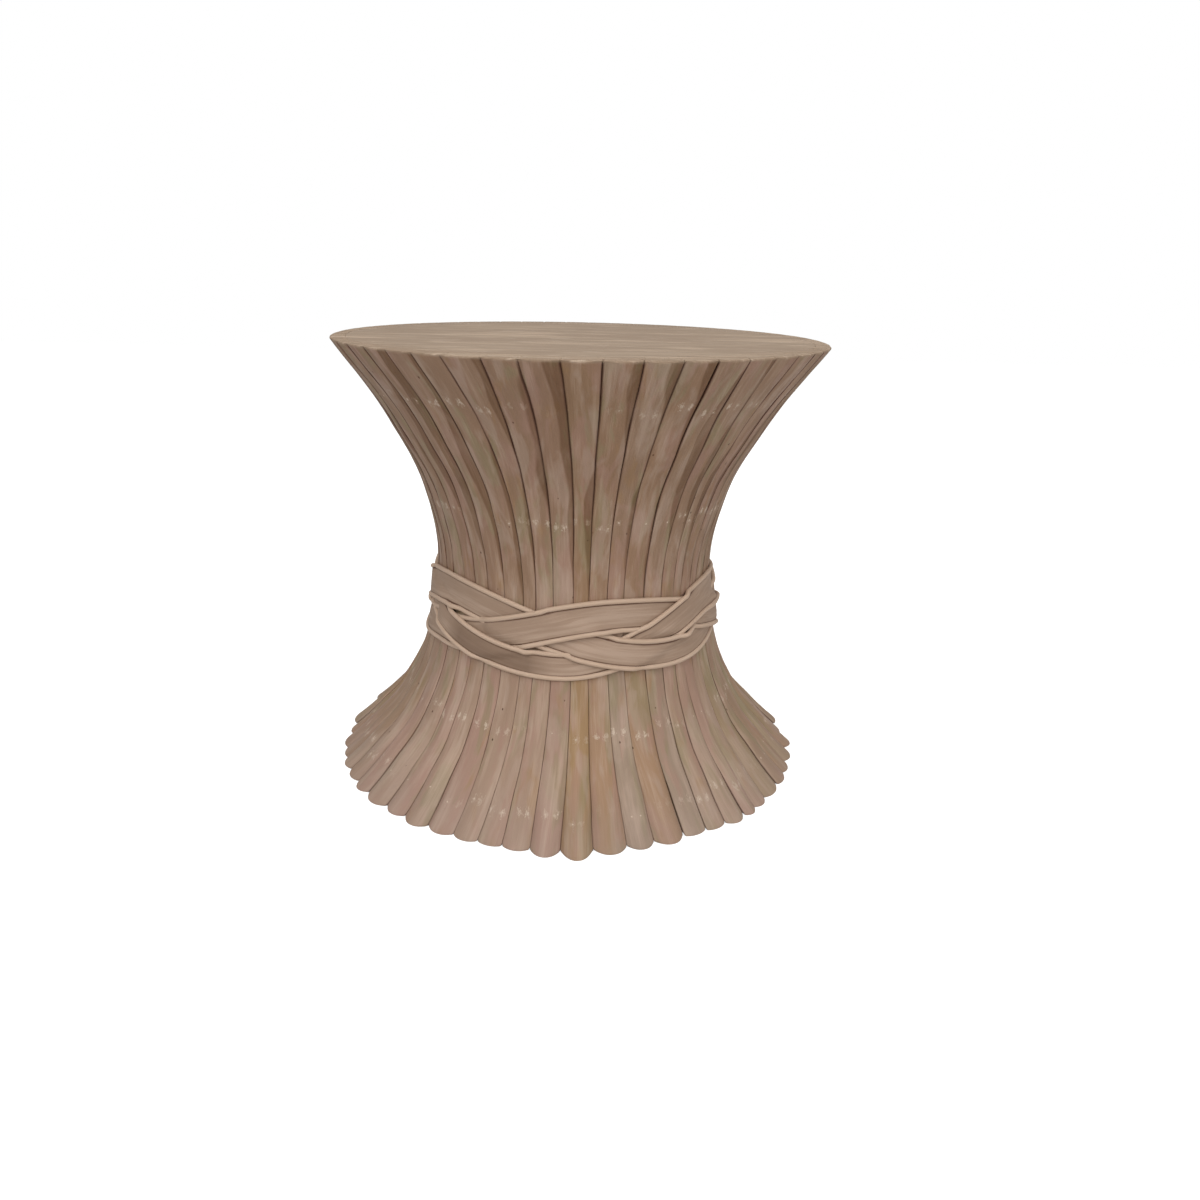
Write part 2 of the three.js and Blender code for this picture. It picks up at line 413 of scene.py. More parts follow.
# The skin of the poles. Heights and widths are millimetres. Where nothing else is said, two numbers are where
# something starts and where it is whole, and a third is its most.
skin = {
    "shade": (60.0, 330.0, 0.8),        # painted shade: the skin gets darker with height, as the upper flare faces down, away from the light
    "wash": (0.46, 0.3),                # low down, and high up
    "streak": (0.22, 0.55),             # the least, and what the grain adds
    "stainGrain": (0.04, 0.013, 1.7),   # noise across and along a pole, and from pole to pole
    "stainsAndShadows": {                         # each with its own part of the noise before the three numbers
        "rosy": (31.0, 0.48, 0.62, 0.55),
        "mossy": (67.0, 0.52, 0.64, 0.5),
        "honey": (113.0, 0.57, 0.7, 0.45),
        "dusty": (151.0, 0.5, 0.62, 0.45),
    },
    "ownSpot": (37.0, 11.0),            # how far apart two poles' parts of a noise lie, across and along
    "wobbleScale": 0.3,
    "smudgeSize": (4.2, 5.2),           # across and along
    "smudgeWobble": 4.6,
    "smudgeEdge": (0.25, 0.85),
    "smudgeSway": (1.9, 2.6),           # with the seed, and from row to row
    "smudgeStrength": (0.55, 0.5),      # its middle and its sway
    "smudgeFibre": (-0.3, 0.8, 0.8),
    "pitScale": 0.035,
    "pits": (0.03, 0.06, 0.8),
    # The seams between poles take a dark line: painted shade in the grooves, together with dirt
    "seamRise": (180.0, 520.0),         # the seams get wider and darker with height
    "seamRagged": 0.6,
    "seamWidth": (0.5, 1.5),            # low down, and what is added high up
    "seamEdge": (0.0, 1.1),
    "seamShadeAndDirt": (0.25, 0.4, 0.35),      # everywhere, high up, and in patches
    # The wedges are painted shade on the right-hand shoulders of poles, which face away from the light
    "wedgeGrain": (0.01, 0.0062, 2.3),  # noise across and along a pole, and from pole to pole
    "wedgeFrom": 0.4,                   # the noise that a wedge begins at
    "wedgeWidth": 68.0,                 # and its width for each whole step of noise beyond
    "wedgeRise": (210.0, 470.0),
    "wedgeSide": (0.0, 1.5),
    "wedge": (-2.0, 1.0, 0.85),
    "wedgeShadeTint": (0.6, 0.52, 0.43, 1),
    "foot": (5.0, 70.0, 0.3),           # greyer below, and no more so above
    "rimWash": (0.5455, 0.5496),        # metres
    "roughness": (0.58, 0.25),          # bare, and what the wash adds
    "relief": {"Fibre": 0.5, "Streak": 0.6, "Smudge": 0.6, "Pit": -1.0},
    "reliefDepth": 0.0006,              # metres
}


def stainedSkin(tree, across, along, seed, color):
    # stains that change the hue from place to place along a pole
    acrossScale, alongScale, ownScale = skin["stainGrain"]
    for name, (shift, low, high, most) in skin["stainsAndShadows"].items():
        spot = joined(tree, across * acrossScale, along * alongScale, seed * ownScale + shift)
        stainAndShadow = noiseAt(tree, spot, detail=3.0, roughness=0.6, distortion=0.5).share(low, high) * most
        color = mixed(tree, stainAndShadow, color, linearColor(finish[name]))
    return color


def fillerSmudges(tree, across, along, seed, wobble, fibre):
    # pale smudges of filler round the nails
    wide, tall = skin["smudgeSize"]
    bySeed, byRow = skin["smudgeSway"]
    middle, sway = skin["smudgeStrength"]
    low, high, most = skin["smudgeFibre"]
    smudge = 0.0
    for row, height in enumerate(nails["heights"]):
        spread, shift, rise = nailPlace(row, seed, Wire.sine)
        aside = ((across - shift).math("ABSOLUTE") - spread) / wide
        above = (along - (rise + height)) / tall
        reach = (aside * aside + above * above).math("SQRT") + wobble * skin["smudgeWobble"]
        strength = (seed * bySeed + row * byRow).sine() * sway + middle
        smudge = ((1.0 - reach.share(*skin["smudgeEdge"])) * strength).math("MAXIMUM", smudge)
    return smudge * fibre.share(low, high) * most


def shadedShoulderWedges(tree, across, along, edge, seed):
    # painted shade: dark wedges that run down some right-hand shoulders from the rim, where they turn away from
    # the light on the left
    acrossScale, alongScale, ownScale = skin["wedgeGrain"]
    spot = joined(tree, across * acrossScale, along * alongScale, seed * ownScale)
    wide = noiseAt(tree, spot, roughness=0.45) - skin["wedgeFrom"]
    reach = wide * skin["wedgeWidth"] * along.share(*skin["wedgeRise"])
    low, high, most = skin["wedge"]
    return across.share(*skin["wedgeSide"]) * (1.0 - (edge - reach).share(low, high)) * most


def rattanSkinMaterial():
    material, tree, shader = newMaterial("rattanSkin")
    across, along, edge = split(tree, attribute(tree, "poleSpot").outputs["Vector"])
    seed = Wire(tree, attribute(tree, "poleSeed").outputs["Fac"])
    grain = useGroup(tree, fibreGrain, Across=across, Along=along, Seed=seed, Coarseness=1.0)
    crease = linearColor(finish["crease"])
    acrossOwn, alongOwn = skin["ownSpot"]
    ownSpot = joined(tree, across + seed * acrossOwn, along + seed * alongOwn, edge)

    # painted shade: the upper flare faces down, away from the light, so the skin goes darker with height
    low, high, most = skin["shade"]
    upper = along.share(low, high)
    tint = attribute(tree, "poleTint").outputs["Color"]
    color = mixed(tree, upper * most, tint, linearColor(finish["paintedShade"]))
    color = stainedSkin(tree, across, along, seed, color)
    washLow, washHigh = skin["wash"]
    least, more = skin["streak"]
    pale = washed(tree, color, "wash", upper * (washHigh - washLow) + washLow,
                  {**grain, "Streak": grain["Streak"] * more + least})
    wobble = noiseAt(tree, ownSpot, skin["wobbleScale"], detail=4.0, roughness=0.7) - 0.5
    smudge = fillerSmudges(tree, across, along, seed, wobble, grain["Fibre"])
    color = mixed(tree, smudge, pale["Color"], linearColor(finish["putty"]))

    # old pits, and painted shade with dirt in the seams between poles
    pits = makeNode(tree, "ShaderNodeTexVoronoi", {"Vector": ownSpot, "Scale": skin["pitScale"]})
    low, high, most = skin["pits"]
    pit = 1.0 - Wire(tree, pits.outputs["Distance"]).share(low, high)
    color = mixed(tree, pit * most, color, crease)
    upper = along.share(*skin["seamRise"])
    narrow, wider = skin["seamWidth"]
    ragged = (grain["Streak"] - 0.5) * skin["seamRagged"]
    seam = 1.0 - ((edge + ragged) / (upper * wider + narrow)).share(*skin["seamEdge"])
    everywhere, above, inPatches = skin["seamShadeAndDirt"]
    color = mixed(tree, seam * (grain["Patch"] * inPatches + upper * above + everywhere), color, crease)

    # painted shade on the right-hand shoulders
    shoulderShade = mixed(tree, 1.0, color, skin["wedgeShadeTint"], "MULTIPLY")
    color = mixed(tree, shadedShoulderWedges(tree, across, along, edge, seed), color, shoulderShade)
    low, high, most = skin["foot"]
    color = mixed(tree, (1.0 - along.share(low, high)) * most, color, linearColor(finish["footGrey"]))
    # the cut ends at the rim carry the same wash as the board
    height = split(tree, objectSpot(tree))[2]
    color = mixed(tree, height.share(*skin["rimWash"]), color, boardColor(tree)[0])
    plug(tree, shader.inputs["Base Color"], color)
    bare, more = skin["roughness"]
    plug(tree, shader.inputs["Roughness"], pale["Cover"] * more + bare)
    relief = weighed({**grain, "Smudge": smudge, "Pit": pit}, skin["relief"])
    raised(tree, shader, relief, skin["reliefDepth"])
    return material


# The brushed wash of the top. Smears are noise per metre along and across the strokes. Pale smears and bare
# ones have where they start and are whole, and their most.
boardSkin = {
    "coarseness": 2.2,
    "shade": 0.6,
    "wash": 0.9,
    "smear": (16.0, 150.0),
    "pale": (0.56, 0.68, 0.5),
    "bare": (0.33, 0.4, 0.35),
    "roughness": (0.48, 0.25),
    "relief": {"Fibre": 0.4, "Streak": 0.6},
    "reliefDepth": 0.0005,
}


def boardColor(tree):
    # streaked from left to right. It gives the colour, how far the wash covers, and the grain
    x, y, _ = split(tree, objectSpot(tree))
    grain = useGroup(tree, fibreGrain, Across=y * perMetre, Along=x * perMetre, Seed=3.0,
                     Coarseness=boardSkin["coarseness"])
    shade = linearColor(finish["boardShade"])
    base = mixed(tree, grain["Patch"] * boardSkin["shade"], linearColor(finish["boardBase"]), shade)
    alongScale, acrossScale = boardSkin["smear"]
    brushed = joined(tree, x * alongScale, y * acrossScale)
    smear = noiseAt(tree, brushed, detail=4.0, roughness=0.65, distortion=0.4)
    pale = washed(tree, base, "boardWash", boardSkin["wash"], grain)
    low, high, most = boardSkin["pale"]
    color = mixed(tree, smear.share(low, high) * most, pale["Color"], linearColor(finish["putty"]))
    low, high, most = boardSkin["bare"]
    color = mixed(tree, (1.0 - smear.share(low, high)) * most, color, shade)
    return color, pale["Cover"], grain


def washedBoardMaterial():
    material, tree, shader = newMaterial("washedBoard")
    color, cover, grain = boardColor(tree)
    plug(tree, shader.inputs["Base Color"], color)
    bare, more = boardSkin["roughness"]
    plug(tree, shader.inputs["Roughness"], cover * more + bare)
    raised(tree, shader, weighed(grain, boardSkin["relief"]), boardSkin["reliefDepth"])
    return material


# The skin of the plait's strips and reeds. Each has its colour, wash, coarseness and depth of relief in metres.
plaitSkin = {
    "wovenStrip": ("strip", 0.4, 1.2, 0.0005),
    "edgeReed": ("reed", 0.45, 0.8, 0.0003),
    "seam": (2.3, 4.2, 0.8),            # from a strip's edge, where its painted shade beside the reeds fades and is gone, and its most
    "stainAndShadow": (0.5, 0.3),                # painted shadow: everywhere in the shadowed stretch, and more in patches
    "roughness": (0.58, 0.2),
    "relief": {"Fibre": 0.5, "Streak": 0.5},
}


def plaitMaterial(name):
    # the strips and reeds carry their place across and along the strap in an attribute
    material, tree, shader = newMaterial(name)
    base, amount, coarseness, reliefDepth = plaitSkin[name]
    across, along, edge = split(tree, attribute(tree, "strapSpot").outputs["Vector"])
    grain = useGroup(tree, fibreGrain, Across=across, Along=along, Seed=8.0, Coarseness=coarseness)
    pale = washed(tree, linearColor(finish[base]), "wash", amount, grain)
    # painted shade: a dark line along each strip's edge, where it runs in under a reed
    low, high, most = plaitSkin["seam"]
    seam = 1.0 - (edge + (grain["Streak"] - 0.5)).share(low, high)
    color = mixed(tree, seam * most, pale["Color"], linearColor(finish["crease"]))
    # painted shadow on the stretch of a strap that lies under the straps above it
    everywhere, inPatches = plaitSkin["stainAndShadow"]
    stainAndShadow = Wire(tree, attribute(tree, "strapShadow").outputs["Fac"]) * (grain["Patch"] * inPatches + everywhere)
    plug(tree, shader.inputs["Base Color"], mixed(tree, stainAndShadow, color, linearColor(finish["stainAndShadow"])))
    bare, more = plaitSkin["roughness"]
    plug(tree, shader.inputs["Roughness"], pale["Cover"] * more + bare)
    raised(tree, shader, weighed(grain, plaitSkin["relief"]), reliefDepth)
    return material


hoopSkin = {
    "girth": 300.0,          # the radius that turns an angle on a hoop into millimetres of grain
    "coarseness": 1.5,
    "wash": 0.15,
    "roughness": 0.75,
    "reliefDepth": 0.0004,
}


def bentWoodMaterial():
    material, tree, shader = newMaterial("bentWood")
    x, y, z = split(tree, objectSpot(tree))
    along = y.math("ARCTAN2", x) * hoopSkin["girth"]
    grain = useGroup(tree, fibreGrain, Across=z * perMetre, Along=along, Seed=5.0,
                     Coarseness=hoopSkin["coarseness"])
    color = washed(tree, linearColor(finish["bent"]), "wash", hoopSkin["wash"], grain)["Color"]
    plug(tree, shader.inputs["Base Color"], color)
    plug(tree, shader.inputs["Roughness"], hoopSkin["roughness"])
    raised(tree, shader, grain["Fibre"], hoopSkin["reliefDepth"])
    return material


puttySkin = {
    "cloudScale": 900.0,     # noise per metre
    "cloud": (0.35, 0.65, 0.6),
    "roughness": 0.8,
    "reliefDepth": 0.0002,
}


def fillerPuttyMaterial():
    material, tree, shader = newMaterial("fillerPutty")
    low, high, most = puttySkin["cloud"]
    cloud = noiseAt(tree, objectSpot(tree), puttySkin["cloudScale"]).share(low, high)
    color = mixed(tree, cloud * most, linearColor(finish["putty"]), linearColor(finish["strip"]))
    plug(tree, shader.inputs["Base Color"], color)
    plug(tree, shader.inputs["Roughness"], puttySkin["roughness"])
    raised(tree, shader, cloud, puttySkin["reliefDepth"])
    return material


rattanSkin = rattanSkinMaterial()
fillerPutty = fillerPuttyMaterial()
washedBoard = washedBoardMaterial()
wovenStrip = plaitMaterial("wovenStrip")
edgeReed = plaitMaterial("edgeReed")
bentWood = bentWoodMaterial()
print("materials: rattan skin, filler, board wash, strip, reed and bent wood")


# The split poles. Each row has the angles of the pole's left seam at the floor, the waist and the rim, how
# far its foot reaches, how much its face is crowned, and its tint. Angle 0 faces -Y and angles grow to +X.
poles = {
    "count": 52,
    "rings": 104,             # of points, from the floor to the rim
    "around": 40,
    "endEase": 0.85,          # how much closer together the rings are at the two ends
    "thickness": 16.0,
    "gap": 0.14,
    "sideBow": 0.3,           # degrees that both sides of a gap bow, so that no light comes through it
    "faceShare": 0.6,         # of the section's points, those on the face and on each edge
    "sideShare": 0.1,
    "wholeCrownWidth": 36.0,
    "crownNarrowing": 1.5,
    "crownPower": 2.2,
    "crownFade": 130.0,       # a foot has its whole crown, and this high up only the next share of it is left
    "crownAtRim": 0.3,
    "shoulder": 0.6,          # radius of the rounding along both edges of the face
    "footRound": 3.5,
    "rimInset": 5.5,
    "rimRound": 4.0,
    "rimNotch": 0.3,
    "sideRound": 2.0,         # how far below the rim the sides start to close in, and by what share of it
    "sideInset": 0.6,
    "seamWander": 0.35,       # degrees
    "seamWaves": 0.012,       # noise per millimetre of height
    "faceWander": 1.1,
    "faceWaves": 0.02,
    "faceTwist": 0.6,         # how much the wander differs from side to side
    "stillFoot": 60.0,        # the face wanders wholly from this height on
    "backDepth": 10.0,        # how far behind the edge the material finds a pole's back
    "seedStep": 3.7,
    "seamSeedStep": 9.1,
    "seen": [
        (-84, -87, -97, 318, 4, "brown"), (-77, -80, -91, 318, 3, "brown"), (-72, -75, -84.5, 321, 4, "brown"),
        (-66, -68.5, -78, 321, 4, "plain"), (-59.4, -62, -71, 323, 6, "pink"),
        (-53.5, -55.5, -64, 323, 6, "plain"), (-45.7, -47.5, -57, 319, 5, "pink"),
        (-39.4, -41, -49, 320, 6, "plain"), (-32.5, -34.4, -41.5, 316, 5, "pink"),
        (-25.6, -26.7, -34, 314, 4, "plain"), (-19.7, -18.7, -27, 312, 3, "plain"),
        (-14, -13.8, -18.5, 313, 4, "plain"), (-7.8, -7.1, -11.2, 320, 8, "pink"),
        (-1.2, 0.3, -3.4, 324, 12, "golden"), (6.1, 6.3, 4.4, 314, 8, "amber"),
        (13.6, 13.4, 12, 310, 7, "grey"), (20.4, 19.8, 20, 310, 8, "amber"),
        (28, 28.3, 27.4, 305, 3, "grey"), (34.1, 36.5, 34.6, 307, 3, "plain"),
        (39.7, 42.7, 42, 313, 6, "plain"), (45.9, 47.8, 50, 313, 6, "pink"), (50.2, 53.5, 58, 311, 5, "plain"),
        (56, 59, 64.5, 311, 4, "olive"), (64, 66, 71.5, 312, 3, "brown"), (70, 72, 78, 312, 4, "brown"),
    ],
    "lastSeenSeam": (76.5, 78.5, 85),
    "hiddenReach": (314, 4, 2.3),       # middle, size and step of a wave round the back
    "hiddenCrown": (6, 2, 1.7),
    "hiddenTints": 11,                  # the seed that picks them
    "tints": {
        "plain": (158, 134, 116), "pink": (160, 132, 117), "brown": (150, 125, 104), "olive": (153, 132, 107),
        "grey": (152, 133, 116), "golden": (154, 126, 93), "amber": (157, 128, 103),
    },
}


def poleRows():
    seen = poles["seen"]
    hidden = poles["count"] - len(seen)
    rows = list(seen)
    draw = random.Random(poles["hiddenTints"])
    for i in range(hidden):
        seam = [start + (end + 360 - start) * i / hidden for start, end in zip(poles["lastSeenSeam"], seen[0])]
        sizes = [middle + size * math.sin(step * i) for middle, size, step in
                 (poles["hiddenReach"], poles["hiddenCrown"])]
        rows.append((*seam, *sizes, draw.choice(list(poles["tints"]))))
    return rows


def seamAngle(seam, height):
    # a seam bends evenly through its three angles: at the floor, the waist and the rim
    part = height / sheaf["height"]
    waist = sheaf["waistHeight"] / sheaf["height"]
    return seam[0] * ((part - waist) * (part - 1.0) / waist) \
        + seam[1] * (part * (part - 1.0) / (waist * (waist - 1))) \
        + seam[2] * (part * (part - waist) / (1 - waist))


def poleTree():
    names = [f"{side} {where}" for side in ("Left", "Right") for where in ("Floor", "Waist", "Rim", "Seed")]
    inputs = {name: "NodeSocketFloat" for name in names + ["Reach", "Crown", "Seed"]}
    tree, entry, leave = makeTree("GeometryNodeTree", "splitPole", {**inputs, "Tint": "NodeSocketColor"},
                                  {"Geometry": "NodeSocketGeometry"})
    given = wires(tree, entry)

    def noise(x, y, detail=1.0):
        node = makeNode(tree, "ShaderNodeTexNoise",
                        {"Vector": joined(tree, x, y), "Scale": 1.0, "Detail": detail}, noise_dimensions="2D")
        return Wire(tree, node.outputs[0]) - 0.5

    def outline(height):
        group = makeNode(tree, "GeometryNodeGroup", {"Height": height}, node_tree=outlineGroup)
        return Wire(tree, group.outputs["Radius"])

    def rounding(distance, radius):
        # how far a rounded edge of this radius falls back, at a distance from the edge
        left = 1.0 - (distance / radius).held()
        return (1.0 - (1.0 - left * left).math("MAXIMUM", 0.0).math("SQRT")) * radius

    line = makeNode(tree, "GeometryNodeCurvePrimitiveLine")
    rail = makeNode(tree, "GeometryNodeResampleCurve", {"Curve": line.outputs[0], "Count": poles["rings"]})
    ring = makeNode(tree, "GeometryNodeCurvePrimitiveCircle", {"Resolution": poles["around"]})
    sweep = swept(tree, rail, ring, "Factor")

    # where a point is: its height, its place across the pole from -1 to 1, and its depth from face to back
    along, around = recalled(tree, "along"), recalled(tree, "around")
    eased = 0.5 - (along * math.pi).math("COSINE") * 0.5
    height = (along * (1 - poles["endEase"]) + eased * poles["endEase"]) * sheaf["height"]
    belowRim = sheaf["height"] - height
    faceShare, sideShare = poles["faceShare"], poles["sideShare"]
    onFace = (around / faceShare).math("MINIMUM", 1.0) * 2.0 - 1.0
    onBack = ((around - (faceShare + sideShare)) / (1 - faceShare - 2 * sideShare)).held()
    across = (onFace * (math.pi / 2)).sine() - onBack * 2.0
    depth = ((around - faceShare) / sideShare).held() \
        - ((around - (1 - sideShare)) / sideShare).math("MAXIMUM", 0.0)

    seams = []
    for side in ("Left", "Right"):
        bend = seamAngle([given[f"{side} {where}"] for where in ("Floor", "Waist", "Rim")], height)
        wander = noise(height * poles["seamWaves"], given[f"{side} Seed"]) * (2 * poles["seamWander"])
        seams.append(bend + wander)
    left, right = seams
    middle = (left + right) * 0.5

    # the outline, how much it leans, and the face and back that follow it
    span = sheaf["slopeSpan"]
    rise = (outline(height + span) - outline(height - span)) / (2 * span)
    lean = (rise * rise + 1.0).math("SQRT")
    blend = (1.0 - height / sheaf["height"]) ** sheaf["reachFade"]
    radius = outline(height) + (given["Reach"] - sheaf["commonReach"]) * blend
    back = radius - lean * poles["thickness"]
    half = (right - left) * 0.5 - (poles["gap"] / 2 * math.degrees(1)) * back ** -1.0
    halfWidth = half * radius * math.radians(1)
    narrowing = (halfWidth * 2.0 / poles["wholeCrownWidth"]).math("MINIMUM", 1.0)
    offMiddle = across.math("ABSOLUTE")
    edge = (1.0 - offMiddle) * halfWidth
    crown = given["Crown"] * (1.0 - height.share(0.0, poles["crownFade"]) * (1 - poles["crownAtRim"]))
    drop = crown * lean * (narrowing ** poles["crownNarrowing"]) * (offMiddle ** poles["crownPower"]) \
        + rounding(edge, poles["shoulder"]) * lean
    wander = noise(height * poles["faceWaves"], given["Seed"] + across * poles["faceTwist"], 2.0) \
        * (2 * poles["faceWander"])
    footInset = rounding(height, poles["footRound"])
    rimDrop = rounding(belowRim, poles["rimRound"]) * (poles["rimInset"] / poles["rimRound"])
    fallen = drop.math("MAXIMUM", rimDrop) + drop.math("MINIMUM", rimDrop) * poles["rimNotch"]
    face = radius - fallen - footInset + wander * (height / poles["stillFoot"]).math("MINIMUM", 1.0)
    finalRadius = face + (back + footInset - face) * depth
    sideInset = footInset + rounding(belowRim, poles["sideRound"]) * poles["sideInset"]
    bow = depth * (1.0 - depth) * (4 * poles["sideBow"])
    angle = (middle + bow + across * (half - sideInset * math.degrees(1) / radius)) * math.radians(1)

    # what the material follows: millimetres across and along the pole, and from its nearer edge
    grain = joined(tree, across * halfWidth, height, edge - depth * poles["backDepth"])
    shape = stored(tree, sweep.outputs[0], "poleSpot", grain, "FLOAT_VECTOR")
    shape = stored(tree, shape, "poleSeed", given["Seed"])
    shape = stored(tree, shape, "poleTint", given["Tint"], "FLOAT_COLOR")
    spot = joined(tree, finalRadius * angle.sine() * metres, finalRadius * angle.math("COSINE") * -metres,
                  height * metres)
    moved = makeNode(tree, "GeometryNodeSetPosition", {"Geometry": shape, "Position": spot})
    smooth = makeNode(tree, "GeometryNodeSetShadeSmooth", {"Geometry": moved.outputs[0]})
    finishTree(tree, leave, smooth.outputs[0], rattanSkin)
    return tree


def nailTree():
    # a low dome on each given point, square to the face that it sits in
    tree, entry, leave = makeTree(
        "GeometryNodeTree", "nailHeads",
        {"Geometry": "NodeSocketGeometry", "Radius": "NodeSocketFloat", "Flatness": "NodeSocketFloat"},
        {"Geometry": "NodeSocketGeometry"})
    given = wires(tree, entry)
    dome = makeNode(tree, "GeometryNodeMeshUVSphere", {"Segments": 8, "Rings": 4, "Radius": 1.0})
    facing = recalled(tree, "facing", "FLOAT_VECTOR")
    turn = makeNode(tree, "FunctionNodeAlignRotationToVector", {"Vector": facing}, axis="Z")
    chance = makeNode(tree, "FunctionNodeRandomValue", {"Seed": nails["headSeed"]}, data_type="FLOAT")
    least, more = nails["headSize"]
    width = (Wire(tree, chance.outputs[1]) * more + least) * given["Radius"]
    placed = makeNode(tree, "GeometryNodeInstanceOnPoints", {
        "Points": given["Geometry"], "Instance": dome.outputs[0], "Rotation": turn.outputs[0],
        "Scale": joined(tree, width, width, given["Radius"] * given["Flatness"])})
    finishTree(tree, leave, placed.outputs[0], fillerPutty)
    return tree


def nailSpots(seed, leftSeam, rightSeam, surface):
    # where a pole's bare nail heads lie on its face, and which way the face looks there
    spots = []
    draw = random.Random(seed)
    for row, rowHeight in enumerate(nails["heights"]):
        spread, shift, rise = nailPlace(row, seed, math.sin)
        height = rowHeight + rise
        left, right = seamAngle(leftSeam, height), seamAngle(rightSeam, height)
        radius = outlineRadius(height)
        halfWidth = math.radians(right - left) / 2 * radius
        for across in (shift - spread, shift + spread):
            if draw.random() > nails["bareShare"] or abs(across) > halfWidth - nails["edgeRoom"]:
                continue
            angle = (left + right) / 2 + math.degrees(across / radius)
            start = Vector(place(radius + nails["castFrom"], angle, height))
            inward = Vector(place(-radius, angle, 0))
            hit, facing, _, _ = surface.ray_cast(start, inward.normalized())
            if hit:
                spots.append((hit, facing))
    return spots


def addNails(spots):
    heads = bpy.data.meshes.new("nailPoints")
    heads.from_pydata([hit for hit, _ in spots], [], [])
    facing = np.ravel([list(normal) for _, normal in spots])
    heads.attributes.new("facing", "FLOAT_VECTOR", "POINT").data.foreach_set("vector", facing)
    values = {"Radius": nails["headRadius"] * metres, "Flatness": nails["flatness"]}
    addPiece("nails", grownMesh("nails", nailTree(), values, heads), [])


def addPoles():
    tree = poleTree()
    rows = poleRows()
    spots = []
    for i, (*leftSeam, reach, crown, tint) in enumerate(rows):
        after = (i + 1) % len(rows)
        turn = 360 if after == 0 else 0
        rightSeam = [angle + turn for angle in rows[after][:3]]
        values = {"Reach": float(reach), "Crown": float(crown), "Seed": i * poles["seedStep"],
                  "Tint": linearColor(poles["tints"][tint]),
                  "Left Seed": i * poles["seamSeedStep"], "Right Seed": after * poles["seamSeedStep"]}
        for where, left, right in zip(("Floor", "Waist", "Rim"), leftSeam, rightSeam):
            values["Left " + where] = float(left)
            values["Right " + where] = float(right)
        name = f"pole_{i + 1:02d}"
        pole = addPiece(name, grownMesh(name, tree, values), [f"stave_{i + 1:02d}"])
        points = [vertex.co for vertex in pole.data.vertices]
        surface = BVHTree.FromPolygons(points, [face.vertices for face in pole.data.polygons])
        spots += nailSpots(values["Seed"], leftSeam, rightSeam, surface)
    addNails(spots)
    print("poles:", len(rows), "with", len(spots), "bare nails")


addPoles()


def lofted(name, rings):
    # a closed body through rings of points, each ring one section
    count = len(rings[0])
    points = [point for ring in rings for point in ring]
    last = (len(rings) - 1) * count
    faces = [(k + j, k + (j + 1) % count, k + count + (j + 1) % count, k + count + j)
             for k in range(0, last, count) for j in range(count)]
    faces += [tuple(reversed(range(count))), tuple(range(last, last + count))]
    mesh = bpy.data.meshes.new(name)
    mesh.from_pydata(points, [], faces)
    mesh.shade_smooth()
    return mesh


# The board that fills the top, flush with the cut ends of the poles. Its profile runs from the middle of the
# underside round the edge to the middle of the top.
board = {
    "thickness": 22.0,
    "gap": 0.25,
    "bevel": 1.0,
    "bevelMiddle": 0.3,       # of the bevel, how far its middle point stays from the corner
    "undercut": 1.5,          # how much more than the poles the board comes in below
    "underRings": (0.05, 0.5, 1.0),     # shares of the radius
    "topRings": (0.9, 0.6, 0.3, 0.05),
    "sides": 160,
}


def addBoard():
    top = sheaf["height"]
    under = top - board["thickness"]
    rim = outlineRadius(top) - leanFactor(top) * poles["thickness"] - board["gap"]
    low = rim - (outlineRadius(top) - outlineRadius(under)) - board["undercut"]
    bevel = board["bevel"]
    corner = bevel * board["bevelMiddle"]
    profile = [(low * share, under) for share in board["underRings"]]
    profile += [(rim, top - bevel), (rim - corner, top - corner), (rim - bevel, top)]
    profile += [((rim - bevel) * share, top) for share in board["topRings"]]
    rings = []
    for radius, height in profile:
        rings.append([place(radius, 360 * k / board["sides"], height) for k in range(board["sides"])])
    mesh = lofted("tableTop", rings)
    mesh.materials.append(washedBoard)
    addPiece("tableTop", mesh, ["top_board"], sharpDegrees=60)
    print("board: radius", round(rim, 1))


addBoard()


